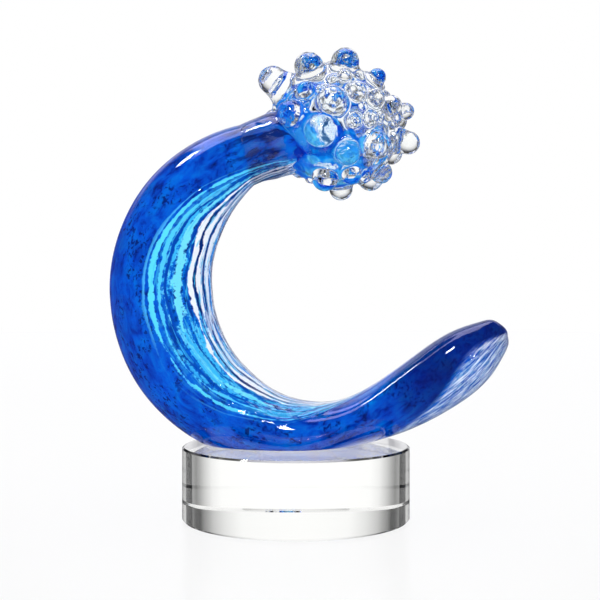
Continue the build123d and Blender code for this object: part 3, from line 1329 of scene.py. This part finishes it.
    def skirt(self) -> Surface:
        """A collar that flares from inside the neck up onto the head, on sections of the curl.

        Returns:
            The closed surface, in millimetres.
        """
        rings, around = self.skirt_grid
        degrees = np.linspace(*self.skirt_degrees, rings)
        swell = np.interp(degrees, *self.skirt_swell)
        middle, half = self.rod.middle_and_half(degrees)
        wide = (self.rod.half_width(degrees) + swell)[:, None]
        half = (half + swell)[:, None]
        turn = np.linspace(0.0, 2.0 * np.pi, around, endpoint=False)[None, :]
        angle = np.radians(degrees)[:, None]
        reach = middle[:, None] + half * np.sin(turn)
        x, z = self.rod.centre
        grid = np.stack([x + reach * np.cos(angle), -wide * np.cos(turn), z + reach * np.sin(angle)], axis=-1)
        quads, fans = tube_faces(rings, around)
        return Surface(with_poles(grid), quads[:, ::-1], fans[:, ::-1])

    def ball(self, radius: float, rows: int, around: int) -> Surface:
        """A ball about the head's centre.

        Args:
            radius: Its radius.
            rows: Rings from pole to pole.
            around: Points in each ring.

        Returns:
            The closed surface, in millimetres.
        """
        tilt = np.linspace(-np.pi / 2.0, np.pi / 2.0, rows + 2)[1:-1]
        made = lathe(np.stack([radius * np.cos(tilt), radius * np.sin(tilt)], axis=-1), around)
        made.points[-2:, 2] = (-radius, radius)
        made.points += self.centre
        return made

    def gathered(self) -> Surface:
        """The head, drawn up towards each drop, with slow folds between them.

        A point's radius is just under the head's, plus a share of each drop's radius times
        exp(-(angle / spread)^2), plus three crossing waves, with a limit a little above the head.

        Returns:
            The closed surface, in millimetres.
        """
        made = self.ball(1.0, 90, 160)
        out = unit(made.points - self.centre)
        reach = np.full(len(out), self.radius - self.gather_inset)
        wider, least = self.gather_spread
        for polar, azimuth, radius, _ in self.places():
            apart = self.degrees_from(out, polar, azimuth)
            reach += self.gather_share * radius * np.exp(-((apart / (radius * wider + least)) ** 2))
        waves = ((1, 1, 0), (-1.4, 1.1, 2), (0.5, -1.9, 4))
        folds = ripples(out[:, 0] * 9.0 + 5.0 * out[:, 2], out[:, 1] * 9.0, waves)
        reach = np.minimum(reach + self.gather_waves * folds, self.radius + self.gather_limit)
        made.points = self.centre + out * reach[:, None]
        return made

    def folds(self) -> list[Surface]:
        """Shallow lumps in the gaps between the drops, on a spiral of even spacing round the head.

        Returns:
            The closed surfaces, in millimetres.
        """
        index = np.arange(self.fold_count) + 0.5
        height = 1.0 - 2.0 * index / self.fold_count
        turn = index * math.pi * (3.0 - math.sqrt(5.0))
        flat = np.sqrt(1.0 - height**2)
        spots = np.stack([flat * np.cos(turn), flat * np.sin(turn), height], axis=-1)
        rows = self.places()
        drops = np.stack([self.outward(polar, azimuth) for polar, azimuth, _, _ in rows])
        apart = np.arccos(np.clip(spots @ drops.T, -1.0, 1.0)) * self.radius
        by_drop, by_fold = self.fold_room
        free = (apart > rows[:, 2] * by_drop + self.fold_radius * by_fold).all(axis=1)
        free &= ~self.in_rod(self.centre + spots * (self.radius + 1.0), -3.0)
        least, more = self.fold_sizes
        size = self.fold_radius * (least + more * np.sin(index * 2.3) ** 2)
        made = []
        for spot, radius in zip(spots[free], size[free]):
            lump = self.ball(radius, 14, 20)
            lump.points += spot * (self.radius - self.fold_sink * radius)
            made.append(lump)
        return made

    def fused(self) -> bpy.types.Mesh:
        """One skin round the head, the drops and the collar, from a voxel remesh that is then relaxed.

        Returns:
            The mesh, in metres.
        """
        drops = [self.drop(*row) for row in self.places()]
        whole = joined([self.gathered(), self.skirt(), *self.folds(), *drops])
        whole.points = whole.points * MM
        rough = whole.to_mesh("froth_parts")
        work = bpy.data.objects.new("froth_parts", rough)
        bpy.context.scene.collection.objects.link(work)
        remesh = work.modifiers.new("fuse", "REMESH")
        remesh.mode, remesh.voxel_size = "VOXEL", self.voxel * MM
        relax = work.modifiers.new("relax", "SMOOTH")
        relax.factor, relax.iterations = self.relax_factor, self.relax_rounds
        depsgraph = bpy.context.evaluated_depsgraph_get()
        made = bpy.data.meshes.new_from_object(work.evaluated_get(depsgraph), depsgraph=depsgraph)
        made.name = "froth_skin"
        bpy.data.objects.remove(work)
        bpy.data.meshes.remove(rough)
        shade_smooth(made)
        return made

    def in_rod(self, points: np.ndarray, margin: float) -> np.ndarray:
        """Which points lie inside the neck of the rod.

        Args:
            points: Places in millimetres.
            margin: How far inside its surface they have to be.

        Returns:
            True for each point inside.
        """
        x, z = self.rod.centre
        degrees = np.degrees(np.arctan2(points[:, 2] - z, points[:, 0] - x))
        reach = np.hypot(points[:, 2] - z, points[:, 0] - x)
        middle, half = self.rod.middle_and_half(degrees)
        wide = self.rod.half_width(degrees)
        inside = ((reach - middle) / (half - margin)) ** 2 + (points[:, 1] / (wide - margin)) ** 2 < 1.0
        return inside & (degrees > self.rod.neck_angle) & (degrees < self.neck_end)

    def dress(self) -> None:
        """Builds and dresses the clear skin of the froth and the blue inside it."""
        mesh = self.fused()
        nodes = ("froth_head", *(f"froth_drop_{number:02d}" for number in range(1, len(self.places()) + 1)))
        place("froth_skin", mesh, nodes)
        mesh.materials.clear()
        mesh.materials.append(CrinkledGlass("froth_clear").material())
        mesh.materials.append(Joint("fused_root").material())
        inside = self.in_rod(face_middles(mesh), self.fused_margin)
        mesh.polygons.foreach_set("material_index", inside.astype(np.int32))
        self._heart()

    def _heart(self) -> None:
        """The blue inside the head: a ball that rises towards the roots of the drops near the neck.

        The radius is base - hollow f + sum of (1 - f) rise exp(-(angle / spread)^2) over the drops, where f
        grows from 0 to 1 along the direction that the colour leans in.
        """
        made = self.ball(1.0, 110, 180)
        out = unit(made.points - self.centre)
        away = tilted(self.colour_lean)
        far = smooth_step(*self.heart_fade, out @ away)
        reach = self.heart_radius - self.heart_hollow * far
        root = np.zeros(len(out))
        for polar, azimuth, radius, _ in self.places():
            apart = self.degrees_from(out, polar, azimuth)
            near = np.exp(-((apart / (radius * self.heart_spread)) ** 2))
            reach += self.heart_rise * radius * (1.0 - far) * near
            root = np.maximum(root, np.exp(-((apart / (radius * self.root_spread)) ** 2)))
        made.points = (self.centre + out * np.minimum(reach, self.heart_limit)[:, None]) * MM
        made.values["root"] = root
        mesh = made.to_mesh("froth_colour")
        place("froth_colour", mesh, ("froth_core",))
        mesh.materials.append(FrothColour("froth_blue", tuple(self.centre * MM), tuple(away)).material())


def tilted(degrees: float) -> np.ndarray:
    """The unit direction in the XZ plane that rises by an angle from +X."""
    return np.array([math.cos(math.radians(degrees)), 0.0, math.sin(math.radians(degrees))])


def unit(vectors: np.ndarray) -> np.ndarray:
    """The vectors, one a row, each over its own length."""
    return vectors / np.linalg.norm(vectors, axis=1)[:, None]


# ---- Studio ---------------------------------------------------------------------------------------------


@dataclass
class Studio:
    """White table top, white surroundings with dark flags for the glass, and the camera. Sizes in metres.

    What glass looks out on is a table of levels against the angle from the Y axis, one for directions below
    the horizon and one for those above. A lamp is a direction, the angle of its radius and its strength.
    """

    camera_place: Triple = (0.0018, -0.490, 0.096)
    focal: float = 66.53
    table_reach: float = 3.0
    table_sides: int = 96
    gap: float = 0.0002
    below: Levels = (
        (0, 1.07), (29, 1.05), (34, 0.93), (37, 0.77), (40, 0.62), (44, 0.40), (48, 0.24), (53, 0.34),
        (54.5, 0.0), (65, 0.0), (68, 0.55), (90, 0.9),
    )  # fmt: skip
    above: Levels = (
        (0, 1.07), (21, 1.0), (28, 0.80), (34, 0.57), (37, 0.40), (41, 0.24), (44, 0.06), (49, 0.06),
        (53, 0.18), (54.5, 0.0), (65, 0.0), (68, 0.8), (90, 1.0),
    )  # fmt: skip
    lamps: tuple[tuple[Triple, float, float], ...] = (
        ((-0.52, 0.0, 0.85), 5.5, 24.0),
        ((-0.67, -0.72, -0.17), 4.5, 40.0),
        ((0.13, -0.84, 0.53), 5.0, 60.0),
    )
    room: Colour = (0.07, 0.07, 0.08)
    back_wall: Colour = (0.95, 0.95, 1.0)
    softbox: Colour = (3.2, 3.2, 4.2)
    softbox_side: tuple[float, float] = (0.50, 0.42)
    softbox_depth: tuple[float, float] = (0.42, 0.32)
    softbox_back: float = 0.14
    white: Colour = (1.0, 1.0, 1.0)
    inside_light: Colour = (2.3, 2.3, 2.3)

    def build(self) -> None:
        """Builds the table, the surroundings and the camera."""
        self._table()
        self._surroundings()
        self._camera()

    def _table(self) -> None:
        """A round white table top, just under the base."""
        turn = np.linspace(0.0, 2.0 * np.pi, self.table_sides, endpoint=False)
        x, y = self.table_reach * np.cos(turn), self.table_reach * np.sin(turn)
        rim = np.stack([x, y, np.full(self.table_sides, -self.gap)], axis=-1)
        mesh = bpy.data.meshes.new("table_top")
        mesh.from_pydata(rim.tolist(), [], [list(range(self.table_sides))])
        table = bpy.data.objects.new("table_top", mesh)
        bpy.context.scene.collection.objects.link(table)
        mesh.materials.append(PaleFloor("white_table").material())

    def _surroundings(self) -> None:
        """White for the camera and for soft light. Glass also meets dark flags and small lamps.

        Light that has met the colour inside is stronger, because the clear glass round it takes some.
        """
        world = bpy.data.worlds.new("studio")
        bpy.context.scene.world = world
        world.use_nodes = True
        sheet = Sheet(world.node_tree)
        way = sheet.node("TexCoord").outputs["Generated"]
        path = sheet.node("LightPath").outputs
        seen = sheet.blend(path["Is Glossy Ray"], self.white, self._mirrored(sheet, way))
        seen = sheet.blend(path["Is Transmission Ray"], seen, self._seen_through(sheet, way))
        spread = sheet.math("GREATER_THAN", path["Diffuse Depth"], 0.5)
        seen = sheet.blend(spread, seen, self.white)
        seen = sheet.blend(sheet.times(spread, path["Is Transmission Ray"]), seen, self.inside_light)
        seen = sheet.blend(path["Is Camera Ray"], seen, self.white)
        back = sheet.node("Background", {"Color": seen, "Strength": 1.0})
        sheet.finish(back.outputs[0], "OutputWorld")

    def _seen_through(self, sheet: Sheet, way: Socket) -> Socket:
        """What glass looks out on: a ramp over the angle from the Y axis, acos(|y|), for each half.

        Args:
            sheet: The world's node sheet.
            way: The direction.

        Returns:
            The colour.
        """
        _, y, z = sheet.split(way)
        angle = sheet.math("ARCCOSINE", sheet.math("MINIMUM", sheet.math("ABSOLUTE", y), 1.0))
        share = sheet.math("DIVIDE", angle, math.pi / 2.0)
        halves = []
        for levels in (self.below, self.above):
            stops = tuple((degrees / 90.0, (level, level, level * 0.985)) for degrees, level in levels)
            halves.append(sheet.ramp(share, stops))
        return sheet.blend(sheet.step(-0.03, 0.05, z), *halves)

    def _mirrored(self, sheet: Sheet, way: Socket) -> Socket:
        """What glass mirrors: a dim room with a white wall behind, a soft light overhead and small lamps.

        Args:
            sheet: The world's node sheet.
            way: The direction.

        Returns:
            The colour.
        """
        x, y, z = sheet.split(way)
        ahead = sheet.times(sheet.step(0.45, 0.75, y), sheet.step(0.25, 0.5, z))
        ahead = sheet.greatest(ahead, sheet.step(0.90, 0.96, y))
        seen = sheet.blend(ahead, self.room, self.back_wall)
        box_x = sheet.step(*self.softbox_side, sheet.math("ABSOLUTE", x))
        away = sheet.math("ABSOLUTE", sheet.math("SUBTRACT", y, self.softbox_back))
        box_y = sheet.step(*self.softbox_depth, away)
        seen = sheet.blend(sheet.times(box_x, box_y, sheet.math("GREATER_THAN", z, 0.0)), seen, self.softbox)
        for direction, radius, strength in self.lamps:
            near = sheet.vectors("DOT_PRODUCT", way, tuple(unit(np.array([direction]))[0]))[1]
            edge, core = (math.cos(math.radians(radius * share)) for share in (1.0, 0.8))
            seen = sheet.blend(sheet.step(edge, core, near), seen, (strength,) * 3)
        return seen

    def _camera(self) -> None:
        """A level camera in front of the object, at the photograph's place and angle of view."""
        data = bpy.data.cameras.new("camera")
        data.lens, data.sensor_width = self.focal, 36.0
        data.clip_start, data.clip_end = 0.01, 50.0
        camera = bpy.data.objects.new("camera", data)
        camera.location = self.camera_place
        camera.rotation_euler = (math.pi / 2.0, 0.0, 0.0)
        bpy.context.scene.collection.objects.link(camera)
        bpy.context.scene.camera = camera


def main() -> None:
    """Builds the studio and each piece in order."""
    logging.basicConfig(level=logging.INFO, format="%(name)s %(message)s")
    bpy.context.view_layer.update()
    bpy.context.scene.view_settings.view_transform = "Standard"
    Studio().build()
    CrystalBase().dress()
    rod = Rod()
    froth = Froth(rod)
    Wave(rod, froth.centre, froth.radius).dress()
    froth.dress()
    LOG.info("boxes written")


if __name__ == "__main__":
    main()
